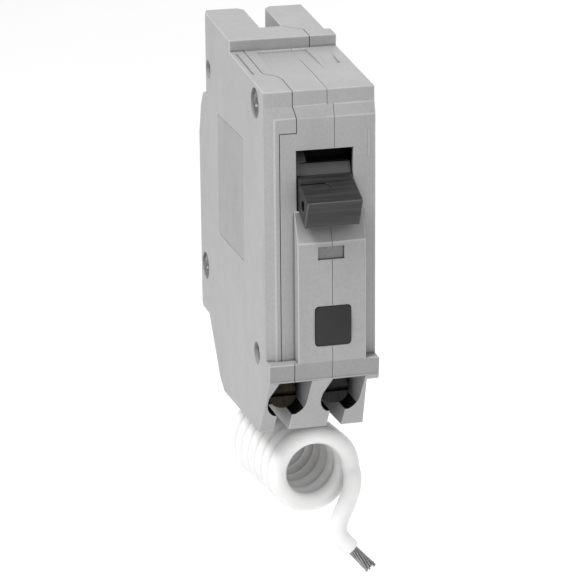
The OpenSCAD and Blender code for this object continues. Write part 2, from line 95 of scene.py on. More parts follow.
def make_camera():
    az, el, roll = (math.radians(a) for a in CAMERA_TURN)
    back = Vector((math.sin(az) * math.cos(el), -math.cos(az) * math.cos(el), math.sin(el)))
    right = Vector((0, 0, 1)).cross(back).normalized()
    up = back.cross(right)
    x_axis = math.cos(roll) * right + math.sin(roll) * up
    y_axis = math.cos(roll) * up - math.sin(roll) * right
    data = bpy.data.cameras.new("camera")
    data.lens, data.sensor_width = CAMERA_LENS, CAMERA_SENSOR
    data.clip_start, data.clip_end = 0.01, 50
    cam = place("camera", data)
    pose = Matrix((x_axis, y_axis, back)).transposed().to_4x4()
    pose.translation = Vector(CAMERA_TARGET) * MM + back * CAMERA_DISTANCE
    cam.matrix_world = pose
    bpy.context.scene.camera = cam


make_camera()


# ---------------------------------------------------------------- materials
class Shader:
    """A principled material with object-space procedural detail."""

    def __init__(self, name, rough, metallic=0.0, **constants):
        self.material = bpy.data.materials.new(name)
        self.material.use_nodes = True
        self.tree = self.material.node_tree
        self.bsdf = next(n for n in self.tree.nodes if n.type == "BSDF_PRINCIPLED")
        self.bsdf.inputs["Roughness"].default_value = rough
        self.bsdf.inputs["Metallic"].default_value = metallic
        for key, value in constants.items():
            self.bsdf.inputs[key.replace("_", " ")].default_value = value
        self.coords = self.node("ShaderNodeTexCoord").outputs["Object"]

    def node(self, kind, **settings):
        n = self.tree.nodes.new(kind)
        for key, value in settings.items():
            setattr(n, key, value)
        return n

    def link(self, a, b):
        self.tree.links.new(a, b)

    def scaled(self, scale):
        m = self.node("ShaderNodeMapping")
        m.inputs["Scale"].default_value = scale
        self.link(self.coords, m.inputs["Vector"])
        return m.outputs["Vector"]

    def noise(self, scale, detail=3.0, stretch=None, roughness=0.55):
        n = self.node("ShaderNodeTexNoise")
        n.inputs["Scale"].default_value = scale
        n.inputs["Detail"].default_value = detail
        n.inputs["Roughness"].default_value = roughness
        self.link(self.scaled(stretch) if stretch else self.coords, n.inputs["Vector"])
        return n.outputs["Fac"]

    def ramp(self, source, stops, constant=False):
        r = self.node("ShaderNodeValToRGB")
        r.color_ramp.interpolation = "CONSTANT" if constant else "LINEAR"
        elements = r.color_ramp.elements
        while len(elements) < len(stops):
            elements.new(0.5)
        for e, (at, colour) in zip(elements, stops):
            e.position = at
            e.color = (*colour, 1) if hasattr(colour, "__len__") else (colour, colour, colour, 1)
        self.link(source, r.inputs["Fac"])
        return r.outputs["Color"]

    def mix(self, factor, a, b, blend="MIX"):
        m = self.node("ShaderNodeMix", data_type="RGBA", blend_type=blend)
        for socket, value in ((m.inputs[0], factor), (m.inputs[6], a), (m.inputs[7], b)):
            if isinstance(value, bpy.types.NodeSocket):
                self.link(value, socket)
            elif hasattr(value, "__len__"):
                socket.default_value = (*value, 1)
            else:
                socket.default_value = value
        return m.outputs[2]

    def crevices(self, distance, low=0.45, high=0.95):
        """White on open surfaces and black in corners and seams: the mask for painted shade."""
        ao = self.node("ShaderNodeAmbientOcclusion", samples=6)
        ao.inputs["Distance"].default_value = distance
        return self.ramp(ao.outputs["AO"], [(low, 0.0), (high, 1.0)])

    def depth(self, start, end):
        """0 to 1 between two depths of the working axes."""
        split = self.node("ShaderNodeSeparateXYZ")
        self.link(self.coords, split.inputs["Vector"])
        m = self.node("ShaderNodeMapRange")
        m.inputs["From Min"].default_value = row(0, start, 0).y
        m.inputs["From Max"].default_value = row(0, end, 0).y
        self.link(split.outputs["Y"], m.inputs["Value"])
        return m.outputs["Result"]

    def colour(self, socket):
        self.link(socket, self.bsdf.inputs["Base Color"])

    def roughness(self, source, low, high):
        m = self.node("ShaderNodeMapRange")
        m.inputs["To Min"].default_value = low
        m.inputs["To Max"].default_value = high
        self.link(source, m.inputs["Value"])
        self.link(m.outputs["Result"], self.bsdf.inputs["Roughness"])

    def bumps(self, *layers):
        """Stacks (height socket, strength, distance) layers of bump."""
        normal = None
        for height, strength, distance in layers:
            b = self.node("ShaderNodeBump")
            b.inputs["Strength"].default_value = strength
            b.inputs["Distance"].default_value = distance
            self.link(height, b.inputs["Height"])
            if normal is not None:
                self.link(normal, b.inputs["Normal"])
            normal = b.outputs["Normal"]
        self.link(normal, self.bsdf.inputs["Normal"])


def moulded(name, dark, light, rough, grain=2200, depth=0.00004, corner_shade=None, reach=0.0012, **constants):
    """Moulded thermoset or nylon: spark-eroded grain, flow mottling, scuffs, and painted shade in the corners."""
    s = Shader(name, rough, **constants)
    flow = s.ramp(s.noise(70, 4, (1, 1, 0.35)), [(0.3, dark), (0.7, light)])
    speck = s.ramp(s.noise(1500, 2), [(0.35, 0.94), (0.65, 1.0)])
    base = s.mix(1.0, flow, speck, "MULTIPLY")
    scuffs = s.ramp(s.noise(420, 5, (1, 1, 0.12), 0.7), [(0.66, 0.0), (0.78, 0.35)])
    base = s.mix(scuffs, base, tuple(min(1.0, c * 1.25) for c in light))
    # painted shade: the corner colour where the ambient-occlusion mask finds corners, seams and recesses
    if corner_shade:
        base = s.mix(s.crevices(reach), corner_shade, base)
    s.colour(base)
    s.roughness(s.noise(260, 4), rough - 0.08, rough + 0.12)
    s.bumps((s.noise(grain, 2), 0.35, depth), (s.noise(90, 3), 0.12, 0.0003))
    return s.material


def streaked(name, dark, light, rough):
    """Dark moulding with fine streaks of lighter tone and roughness across its width, and painted shade in its
    corners.
    """
    s = Shader(name, rough, Specular_IOR_Level=0.35)
    streaks = s.noise(900, 4, (0.06, 1, 1), 0.6)
    base = s.ramp(streaks, [(0.32, dark), (0.68, light)])
    # painted shade: near black where the ambient-occlusion mask finds corners
    s.colour(s.mix(s.crevices(0.0006), grey(0.006), base))
    s.roughness(streaks, rough - 0.1, rough + 0.15)
    s.bumps((streaks, 0.2, 0.00003), (s.noise(2000, 2), 0.3, 0.00004))
    return s.material


def shaded_recess(name):
    """The case plastic inside the terminal bays, with painted shade that turns it black away from the mouth."""
    s = Shader(name, 0.6)
    fade = s.ramp(s.depth(NOSE_Y, 6.5), [(0.0, 0.26), (0.2, 0.11), (0.5, 0.02), (1.0, 0.005)])
    s.colour(s.mix(1.0, fade, s.ramp(s.noise(300, 4), [(0.3, 0.8), (0.7, 1.0)]), "MULTIPLY"))
    s.bumps((s.noise(2200, 2), 0.35, 0.00004), (s.noise(90, 3), 0.12, 0.0003))
    return s.material


def metal(name, dark, light, rough, brush=(1, 1, 0.05), tarnish=None, **constants):
    """Rolled or plated metal: brushed streaks, cloudy tarnish and fine pits."""
    s = Shader(name, rough, metallic=1.0, **constants)
    streaks = s.noise(2600, 3, brush)
    base = s.ramp(streaks, [(0.3, dark), (0.7, light)])
    if tarnish:
        base = s.mix(s.ramp(s.noise(300, 5), [(0.48, 0.0), (0.72, 0.7)]), base, tarnish)
    s.colour(base)
    s.roughness(s.noise(700, 4), rough - 0.07, rough + 0.16)
    s.bumps((streaks, 0.25, 0.00002), (s.noise(900, 3), 0.1, 0.00005))
    return s.material


def board_mask(name):
    """Green solder mask over etched tracks."""
    s = Shader(name, 0.32, Coat_Weight=0.3)
    brick = s.node("ShaderNodeTexBrick", offset=0.37, squash=1.6)
    brick.inputs["Scale"].default_value = 260
    brick.inputs["Mortar Size"].default_value = 0.012
    turn = s.node("ShaderNodeMapping")
    turn.inputs["Rotation"].default_value = (0, math.radians(90), 0)
    s.link(s.coords, turn.inputs["Vector"])
    s.link(turn.outputs["Vector"], brick.inputs["Vector"])
    tracks = brick.outputs["Fac"]
    green = s.ramp(s.noise(120, 4), [(0.3, (0.012, 0.10, 0.045)), (0.7, (0.02, 0.16, 0.07))])
    s.colour(s.mix(tracks, green, (0.06, 0.27, 0.12)))
    s.bumps((tracks, 0.5, 0.00004), (s.noise(1800, 2), 0.1, 0.00002))
    return s.material


def insulation(name, dark, light, rough, translucent=0.0):
    """Extruded wire insulation: waxy skin with long flow lines, handling marks, and painted shade between the turns.
    """
    s = Shader(name, rough, Subsurface_Weight=translucent, Subsurface_Scale=0.0012)
    base = s.ramp(s.noise(160, 4), [(0.3, dark), (0.7, light)])
    smudge = s.ramp(s.noise(520, 6, None, 0.7), [(0.62, 0.0), (0.8, 0.22)])
    grime_and_shade = tuple(c * 0.8 for c in dark)
    base = s.mix(smudge, base, grime_and_shade)
    # painted shade: the smudge tone where the ambient-occlusion mask finds the gaps between turns
    s.colour(s.mix(s.crevices(0.003, 0.3, 0.9), grime_and_shade, base))
    s.roughness(s.noise(600, 4), rough - 0.05, rough + 0.15)
    s.bumps((s.noise(1300, 3), 0.18, 0.00004), (s.noise(240, 3), 0.15, 0.0002))
    return s.material


def banded(name):
    """Lacquered resistor body with colour bands across it."""
    s = Shader(name, 0.3, Coat_Weight=0.4)
    tan, brown, red, gold = (0.55, 0.42, 0.27), (0.25, 0.09, 0.03), (0.5, 0.08, 0.03), (0.5, 0.35, 0.08)
    stripes = [(0.0, tan), (0.2, brown), (0.27, tan), (0.36, grey(0.02)), (0.43, tan), (0.52, red), (0.59, tan),
               (0.74, gold), (0.81, tan)]
    bands = s.ramp(s.depth(27, 32.5), stripes, constant=True)
    s.colour(s.mix(s.ramp(s.noise(900, 3), [(0.4, 0.0), (0.7, 0.25)]), bands, (0.3, 0.22, 0.13)))
    s.bumps((s.noise(1500, 2), 0.15, 0.00003),)
    return s.material


# ---------------------------------------------------------------- finishes
GREY_DARK, GREY_LIGHT = grey(0.337), grey(0.37)
# colour of the painted shade in the case's corners
CASE_CORNER_SHADE = grey(0.13)
MATERIALS = {
    "case_plastic": moulded("moulded_case", GREY_DARK, GREY_LIGHT, 0.5, corner_shade=CASE_CORNER_SHADE, reach=0.0007),
    "label_film": moulded("label_film", grey(0.27), grey(0.32), 0.45, grain=3200),
    # the dark plastic gets near-black painted shade in its corners
    "dark_plastic": moulded("dark_plastic", (0.026, 0.026, 0.027), (0.04, 0.04, 0.041), 0.42, grain=1800,
                            depth=0.00006, corner_shade=grey(0.012), reach=0.0006),
    "lens_plastic": moulded("lens_plastic", grey(0.14), grey(0.2), 0.25, grain=900,
                            Coat_Weight=0.5),
    "copper": metal("copper", (0.62, 0.3, 0.17), (0.85, 0.47, 0.3), 0.3, tarnish=(0.3, 0.13, 0.07)),
    "brass": metal("brass", (0.55, 0.41, 0.2), (0.78, 0.62, 0.34), 0.3, tarnish=(0.3, 0.2, 0.09)),
    "plated_steel": metal("plated_steel", (0.42, 0.43, 0.45), (0.62, 0.63, 0.65), 0.34,
                          tarnish=(0.27, 0.26, 0.25)),
    "contact_silver": metal("contact_silver", (0.66, 0.66, 0.67), (0.86, 0.86, 0.85), 0.26,
                            tarnish=(0.35, 0.31, 0.27)),
    "bimetal": metal("bimetal", (0.48, 0.42, 0.32), (0.66, 0.6, 0.48), 0.36, tarnish=(0.3, 0.24, 0.18)),
    "fibre_board": moulded("fibre_board", (0.24, 0.12, 0.06), (0.36, 0.2, 0.11), 0.7, grain=700,
                           depth=0.0001),
    "circuit_board": board_mask("circuit_board"),
    "ferrite": moulded("ferrite", (0.03, 0.03, 0.032), (0.06, 0.06, 0.064), 0.5, grain=1200, depth=0.00008),
    "wound_tape": moulded("wound_tape", (0.26, 0.19, 0.05), (0.42, 0.32, 0.1), 0.3, grain=500, Coat_Weight=0.4),
    "bobbin_plastic": moulded("bobbin_plastic", (0.62, 0.6, 0.55), (0.74, 0.72, 0.67), 0.45),
    "enamelled_wire": metal("enamelled_wire", (0.36, 0.12, 0.05), (0.62, 0.24, 0.1), 0.22, Coat_Weight=0.7),
    "component_black": moulded("component_black", (0.016, 0.016, 0.018), (0.035, 0.035, 0.038), 0.45,
                               grain=1500),
    "component_blue": moulded("component_blue", (0.02, 0.07, 0.2), (0.04, 0.12, 0.3), 0.28, grain=700,
                              Coat_Weight=0.5),
    "resistor_body": banded("resistor_body"),
    "white_insulation": insulation("white_insulation", (0.8, 0.8, 0.795), (0.86, 0.86, 0.855), 0.36, 0.1),
    "black_insulation": insulation("black_insulation", grey(0.02), grey(0.04), 0.4),
    "tinned_strand": metal("tinned_strand", grey(0.22), grey(0.42), 0.34, tarnish=(0.14, 0.13, 0.12)),
}
# finishes of parts of a piece
# darker case grey: painted shade on the ledge below the nose
LEDGE_SHADE = moulded("painted_ledge_shade", grey(0.285), grey(0.315), 0.55, corner_shade=CASE_CORNER_SHADE, reach=0.0007)
# case grey with a long-reach corner mask: painted shadow of the handle on the slope below it
SLOPE_SHADOW = moulded("painted_slope_shadow", GREY_DARK, GREY_LIGHT, 0.5, corner_shade=CASE_CORNER_SHADE, reach=0.008)
# lighter greys for rounded edges: painted highlights
CASE_EDGE_HIGHLIGHT = moulded("painted_case_edge_highlight", grey(0.40), grey(0.50), 0.4)
DARK_EDGE_HIGHLIGHT = moulded("painted_dark_edge_highlight", grey(0.05), grey(0.09), 0.35)
# the drum's grey, lighter than the rest of the handle, with painted shade in its corners
DRUM_GREY = moulded("lighter_drum", grey(0.07), grey(0.10), 0.6, corner_shade=grey(0.02), reach=0.0008)
HANDLE_DARK = streaked("streaked_handle", (0.016, 0.016, 0.017), (0.04, 0.04, 0.041), 0.42)
BUTTON_BLACK = moulded("button_black", grey(0.016), grey(0.026), 0.42, grain=1600,
                       Specular_IOR_Level=0.3)
# painted shade for the inside of the parting seams between the shells
SEAM_SHADE = moulded("painted_parting_gap_shade", grey(0.06), grey(0.09), 0.8)
# near-black painted shade for the inside of the chamber and the handle's hollows
CHAMBER_BLACK_SHADE = moulded("painted_black_shade", grey(0.004), grey(0.012), 0.85,
                       Specular_IOR_Level=0.1)
BAY_SHADE = shaded_recess("painted_recess_shade")
RIVET_STEEL = metal("rivet_steel", grey(0.16), grey(0.34), 0.5, brush=(1, 1, 1), tarnish=grey(0.05))
# near-black metals for the terminal screws and lugs, as painted shade deep in the bays
SHADED_BRASS = metal("painted_shade_brass", (0.022, 0.019, 0.014), (0.05, 0.043, 0.03), 0.55, tarnish=(0.01, 0.009, 0.007))
SHADED_PLATE = metal("painted_shade_plate", grey(0.02), grey(0.045), 0.55, tarnish=grey(0.01))
SOLDER = metal("solder", (0.55, 0.55, 0.56), grey(0.78), 0.2)

SLOT_OF = {s["node"]: s["material_slot"] for s in frame["record"]["subparts"]}
BODY_OF = {n: b for b, members in frame["record"]["behaviour"]["bodies"].items() for n in members}
BUILT = set()                    # CAD nodes that have their visual piece


# ---------------------------------------------------------------- mesh tools
def smooth_path(points, steps):
    """Catmull-Rom curve through the points, with so many steps a span."""
    pts = [Vector(p) for p in points]
    pts = [2 * pts[0] - pts[1], *pts, 2 * pts[-1] - pts[-2]]
    out = []
    for a, b, c, d in zip(pts, pts[1:], pts[2:], pts[3:]):
        for i in range(steps):
            t = i / steps
            out.append(0.5 * (2 * b + (c - a) * t + (2 * a - 5 * b + 4 * c - d) * t * t
                              + (3 * b - 3 * c + d - a) * t ** 3))
    return out + [pts[-2]]


def spoke(u, v, angle):
    return u * math.cos(angle) + v * math.sin(angle)


def ladder(bm, a, b):
    """Faces between two rings of the same count."""
    count = len(a)
    for k in range(count):
        bm.faces.new((a[k], a[(k + 1) % count], b[(k + 1) % count], b[k]))


def tube(bm, points, radius, sides=8):
    """Round bar along the points."""
    pts = [Vector(p) for p in points]
    last = len(pts) - 1
    heading = [(pts[min(i + 1, last)] - pts[max(i - 1, 0)]).normalized() for i in range(last + 1)]
    u = heading[0].orthogonal().normalized()
    rings = []
    for p, t in zip(pts, heading):
        u = (u - t * u.dot(t)).normalized()
        v = t.cross(u)
        rings.append([bm.verts.new(p + spoke(u, v, TAU * k / sides) * radius) for k in range(sides)])
    for a, b in zip(rings, rings[1:]):
        ladder(bm, a, b)
    bm.faces.new(rings[0][::-1])
    bm.faces.new(rings[-1])


def lathe(bm, origin, axis, profile, sides=48, closed=False, wobble=None):
    """Turned solid from (radius, height) pairs; wobble(angle, radius, height) may move each point."""
    axis = Vector(axis).normalized()
    u = axis.orthogonal().normalized()
    v = axis.cross(u)
    rings = []
    for r, h in profile:
        ring = []
        for k in range(sides):
            a = TAU * k / sides
            rr, hh = wobble(a, r, h) if wobble else (r, h)
            ring.append(bm.verts.new(Vector(origin) + spoke(u, v, a) * rr + axis * hh))
        rings.append(ring)
    pairs = list(zip(rings, rings[1:])) + ([(rings[-1], rings[0])] if closed else [])
    for a, b in pairs:
        ladder(bm, a, b)
    if not closed:
        bm.faces.new(rings[0][::-1])
        bm.faces.new(rings[-1])


def metres(profile):
    """(radius, height) pairs in millimetres, turned to metres."""
    return [(r * MM, h * MM) for r, h in profile]


def paint_from(bm, first, index):
    """Gives every face from the first one on a material index."""
    bm.faces.ensure_lookup_table()
    for f in bm.faces[first:]:
        f.material_index = index


def round_corners(bm, corners, radius):
    bmesh.ops.bevel(bm, geom=corners, offset=radius * MM, offset_type="OFFSET", segments=4, profile=0.5,
                    affect="EDGES", clamp_overlap=False)


def block(bm, a, b):
    """Box between two corners."""
    lo, hi = Vector(a), Vector(b)
    made = bmesh.ops.create_cube(bm, size=1.0)["verts"]
    for v in made:
        v.co = Vector((lo[i] + (v.co[i] + 0.5) * (hi[i] - lo[i]) for i in range(3)))
    return made


def cad_bmesh(node):
    """The CAD node's own shape, welded and with its flat faces whole again."""
    bm = bmesh.new()
    bm.from_mesh(frame["nodes"][node].data)
    bmesh.ops.remove_doubles(bm, verts=bm.verts, dist=WELD)
    bmesh.ops.dissolve_limit(bm, angle_limit=FLAT, verts=bm.verts, edges=bm.edges)
    return bm


def grooved(edge):
    return any(f.material_index == SHADED_GROOVE for f in edge.link_faces)


def inside(p, boxes):
    """Whether a point of the row frame is in one of the boxes of the working axes."""
    return any(all(a < c < b for a, c, b in zip(lo, working(p), hi)) for lo, hi in boxes)


def soften(bm, width, limit=30, highlight_index=-1, spare=()):
    """Rounds the outward sharp edges by a width in metres, as a mould or a press tool leaves them, and may give
    them a lighter finish as a painted highlight. Edges centred in a spare box stay as they are, and so do edges too
    close for the width."""
    bmesh.ops.recalc_face_normals(bm, faces=bm.faces)
    tight = {v for e in bm.edges if e.calc_length() < 2.05 * width and not grooved(e) for v in e.verts}
    narrow = {f for f in bm.faces if f.calc_area() < 0.85 * width * f.calc_perimeter()}
    sharp = []
    for e in bm.edges:
        angle = math.degrees(e.calc_face_angle(0))
        if (len(e.link_faces) == 2 and angle > limit and (e.is_convex or angle < 25) and not grooved(e)
                and not tight.intersection(e.verts) and not narrow.intersection(e.link_faces)
                and not inside((e.verts[0].co + e.verts[1].co) / 2, spare)):
            sharp.append(e)
    bmesh.ops.bevel(bm, geom=sharp, offset=width, offset_type="OFFSET", segments=2, profile=0.6,
                    affect="EDGES", clamp_overlap=False, material=highlight_index)


def shade(bm, limit):
    """Smooth shading broken at corners and where two broad flat faces meet at a slight angle."""
    broad = {f for f in bm.faces if f.calc_area() > 0.3 * MM * f.calc_perimeter()}
    for f in bm.faces:
        f.smooth = True
    for e in bm.edges:
        angle = math.degrees(e.calc_face_angle(math.pi))
        slight = 0.6 < angle < 6 and broad.issuperset(e.link_faces)
        e.smooth = angle < limit and not slight


def piece(name, bm, node, extra=(), smooth=38, finish=None):
    """Links the mesh as the piece that stands for a CAD node, on its body and with its finish."""
    bmesh.ops.recalc_face_normals(bm, faces=bm.faces)
    shade(bm, smooth)
    mesh = bpy.data.meshes.new(name)
    bm.to_mesh(mesh)
    bm.free()
    slot = SLOT_OF[node]
    mesh.materials.append(finish or MATERIALS[slot])
    for m in extra:
        mesh.materials.append(m)
    o = place(name, mesh)
    even = o.modifiers.new("even_faces", "WEIGHTED_NORMAL")
    even.keep_sharp = True
    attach(o, BODY_OF[node])
    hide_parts(node)
    BUILT.add(node)
    return o


def carved(bm, cutters):
    """Takes the cutter meshes out of a welded mesh with an exact boolean."""
    objects = []
    for source in (bm, cutters):
        bmesh.ops.recalc_face_normals(source, faces=source.faces)
        mesh = bpy.data.meshes.new("carving")
        source.to_mesh(mesh)
        source.free()
        objects.append(place("carving", mesh))
    body, tool = objects
    cut = body.modifiers.new("cut", "BOOLEAN")
    cut.object, cut.operation, cut.solver = tool, "DIFFERENCE", "EXACT"
    cut.use_self, cut.material_mode = True, "INDEX"
    bpy.context.view_layer.update()
    result = bmesh.new()
    result.from_mesh(body.evaluated_get(bpy.context.evaluated_depsgraph_get()).to_mesh())
    for o in objects:
        bpy.data.objects.remove(o)
    bmesh.ops.dissolve_limit(result, angle_limit=FLAT, verts=result.verts, edges=result.edges)
    return result


def about_x(p, centre, degrees):
    """Turns a working-axes point about the X axis through a centre (y, z)."""
    a = math.radians(degrees)
    y, z = p[1] - centre[0], p[2] - centre[1]
    return (p[0], centre[0] + y * math.cos(a) - z * math.sin(a), centre[1] + y * math.sin(a) + z * math.cos(a))


# ---------------------------------------------------------------- the pigtail
CORD_D, COIL_R, COIL_PITCH, COIL_TURNS = 4.3, 8.75, 4.35, 7
COIL_START, COIL_YAW, COIL_TILT = Vector((1.6, 11.3, -31.75)), math.radians(6.3), math.radians(0.6)
LEAD = [(6.7, 44.5, -8), (6.7, 44.5, -15), (6.7, 44.5, -21.5), (6.85, 44.2, -25.2), (6.95, 43.5, -28.8)]
TAIL = [(10.5, 11.3, -34.2), (10.05, 10.8, -37.2), (8.75, 10.3, -40.2), (7.3, 9.9, -43.1), (6.45, 9.5, -45.5),
        (6.6, 9.1, -47.3), (7.6, 8.9, -48.9), (9.3, 8.7, -50.85)]


def cord_route():
    """The wire's centre line from its crimp inside the case, round the coil and down to the bare end."""
    axis = Vector((-math.sin(COIL_YAW) * math.cos(COIL_TILT), math.cos(COIL_YAW) * math.cos(COIL_TILT),
                   -math.sin(COIL_TILT)))
    side = Vector((math.cos(COIL_YAW), math.sin(COIL_YAW), 0))
    up = side.cross(axis)
    per_turn = 36
    coil = []
    for i in range(COIL_TURNS * per_turn + 1):
        a = TAU * i / per_turn
        coil.append(COIL_START + axis * COIL_PITCH * a / TAU + COIL_R * (math.cos(a) * side + math.sin(a) * up))
    coil.reverse()
    lead = smooth_path([*LEAD, coil[0], coil[2]], 4)[:-5]
    tail = smooth_path([coil[-3], coil[-1], *TAIL], 4)[5:]
    return [row(*p) for p in [*lead, *coil, *tail]]


def make_cord():
    route = cord_route()
    curve = bpy.data.curves.new("pigtail_wire", "CURVE")
    curve.dimensions = "3D"
    curve.bevel_depth = CORD_D / 2 * MM
    curve.bevel_resolution = 7
    curve.use_fill_caps = True
    spline = curve.splines.new("POLY")
    spline.points.add(len(route) - 1)
    for point, at in zip(spline.points, route):
        point.co = (*at, 1)
    spline.use_smooth = True
    curve.materials.append(MATERIALS["white_insulation"])
    wire = place("pigtail_wire", curve)
    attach(wire, "case")
    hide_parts("pigtail_lead", "pigtail_coil", "pigtail_tail")
    BUILT.update(("pigtail_lead", "pigtail_coil", "pigtail_tail"))
    length = sum((b - a).length for a, b in zip(route, route[1:]))
    return wire, length, route


def make_strands(end, heading):
    """Nineteen tinned strands with the lay of the cable, opened a little at their cut ends."""
    bm = bmesh.new()
    axis = heading.normalized()
    u = axis.orthogonal().normalized()
    v = axis.cross(u)
    for ring, count in ((0.0, 1), (0.5, 6), (1.0, 12)):
        for k in range(count):
            start = TAU * k / count + ring
            length = 7.7 + random.uniform(-0.7, 0.25)
            flare = random.uniform(0.18, 0.36)
            line = []
            for i in range(12):
                t = i / 11
                a = start + 1.5 * t
                r = ring * (1 + flare * t * t)
                line.append(end + axis * (length * t - 0.6) * MM + spoke(u, v, a) * r * MM)
            tube(bm, line, 0.26 * MM, 8)
    return piece("pigtail_bare_strands", bm, "pigtail_strands", smooth=50)


wire, wire_length, route = make_cord()
strands = make_strands(route[-1], route[-1] - route[-3])


# ---------------------------------------------------------------- the case
def saw_cut(bm, a, b, normal, width, depth):
    """Straight saw-cut shape along a surface line of the working axes, in millimetres."""
    a, b, n = Vector(a), Vector(b), Vector(normal).normalized()
    along = (b - a).normalized()
    side = along.cross(n) * width / 2
    a, b = a - along * width / 2, b + along * width / 2
    corners = [bm.verts.new(row(*(p + side * s + n * h))) for p in (a, b) for s, h in
               ((-1, -depth), (1, -depth), (1, 0.3), (-1, 0.3))]
    # the cut's faces carry the seam finish, painted shade inside the gap
    for q in ((3, 2, 1, 0), (4, 5, 6, 7), (0, 1, 5, 4), (1, 2, 6, 5), (2, 3, 7, 6), (3, 0, 4, 7)):
        bm.faces.new([corners[i] for i in q]).material_index = SHADED_GROOVE


SEAMS = {
    # between the left cover and the middle housing, then over the lap above the handle
    "left": [((-9.3, 0, 0), (-9.3, 0, 52.4), (0, -1, 0)), ((-9.3, 0, 52.4), (-5.4, 0, 52.4), (0, -1, 0)),
             ((-5.4, 0, 52.4), (-5.4, 0, 55.7), (0, -1, 0)), ((-5.4, 0, 55.7), (-6.1, 0.8, 58.4), (0, -1, 0.3)),
             ((-6.1, 0.8, 58.4), (-6.1, 0.8, 61.8), (0, -1, 0)), ((-6.1, 0.8, 61.8), (-6.1, 9.4, 62.53), (0, 0, 1)),
             ((-6.1, 9.4, 62.53), (-6.7, 11.6, 62.71), (0, 0, 1)), ((-6.7, 11.6, 62.71), (-9, 14, 62.91), (0, 0, 1)),
             ((-9, 14, 62.91), (-9.3, 14.8, 62.98), (0, 0, 1)), ((-9.3, 14.8, 62.98), (-9.3, 31.6, 64.4), (0, 0, 1)),
             ((-7, -3, -4.2), (-7, -3, 0), (0, -1, 0))],
    # across the upper step, from its front to the stab slot
    "step": [((6.3, 31.6, 64.4), (6.3, 31.6, 67), (0, -1, 0)), ((6.3, 31.6, 67), (6.3, 36.8, 67.43), (0, 0, 1)),
             ((6.3, 36.8, 67.43), (2, 40.5, 67.74), (0, 0, 1))],
    # the closer joint between the middle housing and the right cover
    "right": [((3.2, 0, 48.4), (3.2, 0, 55.7), (0, -1, 0)), ((3.2, 0, 55.7), (3.2, 0.8, 58.4), (0, -1, 0.3)),
              ((1.8, 0.8, 58.4), (1.8, 0.8, 61.8), (0, -1, 0)), ((1.8, 0.8, 61.8), (1.8, 31.6, 64.4), (0, 0, 1)),
              ((1.8, -3, 0), (1.8, -3, 3.5), (0, -1, 0)), ((1.8, -2.65, -4), (1.8, -3, 0), (0, -1, 0)),
              ((1.8, -3, 13.3), (1.8, -3, 23.7), (0, -1, 0)), ((1.8, -3, 27.0), (1.8, -3, 27.9), (0, -1, 0)),
              ((1.8, -3, 27.9), (1.8, 0, 34.5), (0, -1, 0.45))],
}
SEAM_SIZE = {"left": (0.17, 0.7), "step": (0.17, 0.7), "right": (0.1, 0.3)}      # width and depth
# boxes of edges left sharp: the lapped corner of the shells, the right leg, and the close joint
LEFT_SHARP = [((-9.6, -2.9, -5), (-6.4, 0.3, 0.3)), ((1.9, -3.4, -21), (13, 18, -3.9)),
              ((CLOSE_X - 0.1, -4, -21), (CLOSE_X + 0.1, 70, 80))]
CUTS = {"left_cover": ("left", "step"), "middle_housing": ("left", "right"), "right_cover": ("step", "right")}


def case_finish(face):
    """Material index of a shell face, from where it is and which way it looks."""
    x, y, z = working(face.calc_center_median())
    _, ny, nz = face.normal
    broad = face.calc_area() > 2e-6
    # inside the chamber: near-black painted shade
    if abs(x) < 11.3 and 1.0 < y < 59.5 and -2.0 < z < (60.0 if y < 39.5 else 45.0):
        return SHADED_CHAMBER
    # faces looking into a terminal bay: painted shade that deepens to black away from the mouth
    if -2.9 < y < 18 and -15.5 < z < -4.1 and min(abs(x - bay) for bay in BAY_X) < 4.2:
        return SHADED_BAY if ny > -0.3 or y > 8 else 0
    if z > 61 and 13 < y < 31 and abs(nz) < 0.5 and abs(x) < 12:
        return SHELL_HIGHLIGHT                  # the fine steps on the top, lighter as a painted highlight
    # the ledge below the nose: painted shade
    if broad and y < -2.5 and -4.0 < z < 0 and ny < -0.95:
        return SHADED_LEDGE
    if broad and -3.1 < y < 0.1 and 27.8 < z < 34.6 and nz > 0.2 and ny < -0.7:
        return SHADOWED_SLOPE                 # under the handle, where a long-reach corner mask paints the handle's shadow
    return 0


def round_window(bm):
    """Moulded fillets in the four corners of the test button's window."""
    def at_corner(v):
        x, y, z = working(v.co)
        return (y < 2 and min(abs(x - side) for side in WINDOW_X) < 0.05
                and min(abs(z - end) for end in WINDOW_Z) < 0.05)

    corners = [e for e in bm.edges if at_corner(e.verts[0]) and at_corner(e.verts[1]) and e.calc_length() < 5 * MM]
    round_corners(bm, corners, 0.9)
    return bm


def lean_ledge(bm):
    """Below the nose the ledge leans back to a fold, and the legs lean forward again from it."""
    top, fold, lean = 0.0, -4.0, 0.35
    proud = NOSE_Y + 0.1
    front = [f for f in bm.faces if all(working(v.co)[1] < proud for v in f.verts)]
    for z in (top, fold):
        edges, verts = [e for f in front for e in f.edges], [v for f in front for v in f.verts]
        geom = list(dict.fromkeys([*front, *edges, *verts]))     # each once, in an order that never changes
        cut = bmesh.ops.bisect_plane(bm, geom=geom, dist=1e-5, plane_co=row(0, 0, z), plane_no=(0, 0, 1))
        front = [g for g in cut["geom"] if isinstance(g, bmesh.types.BMFace)]
    low = [v for v in bm.verts if working(v.co)[1] < proud and working(v.co)[2] < top - 0.01]
    foot = min((working(v.co)[2] for v in low), default=fold)
    for v in low:
        z = working(v.co)[2]
        share = (top - z) / (top - fold) if z > fold - 0.01 else (z - foot) / (fold - foot)
        v.co.y += lean * share * MM
    return bm


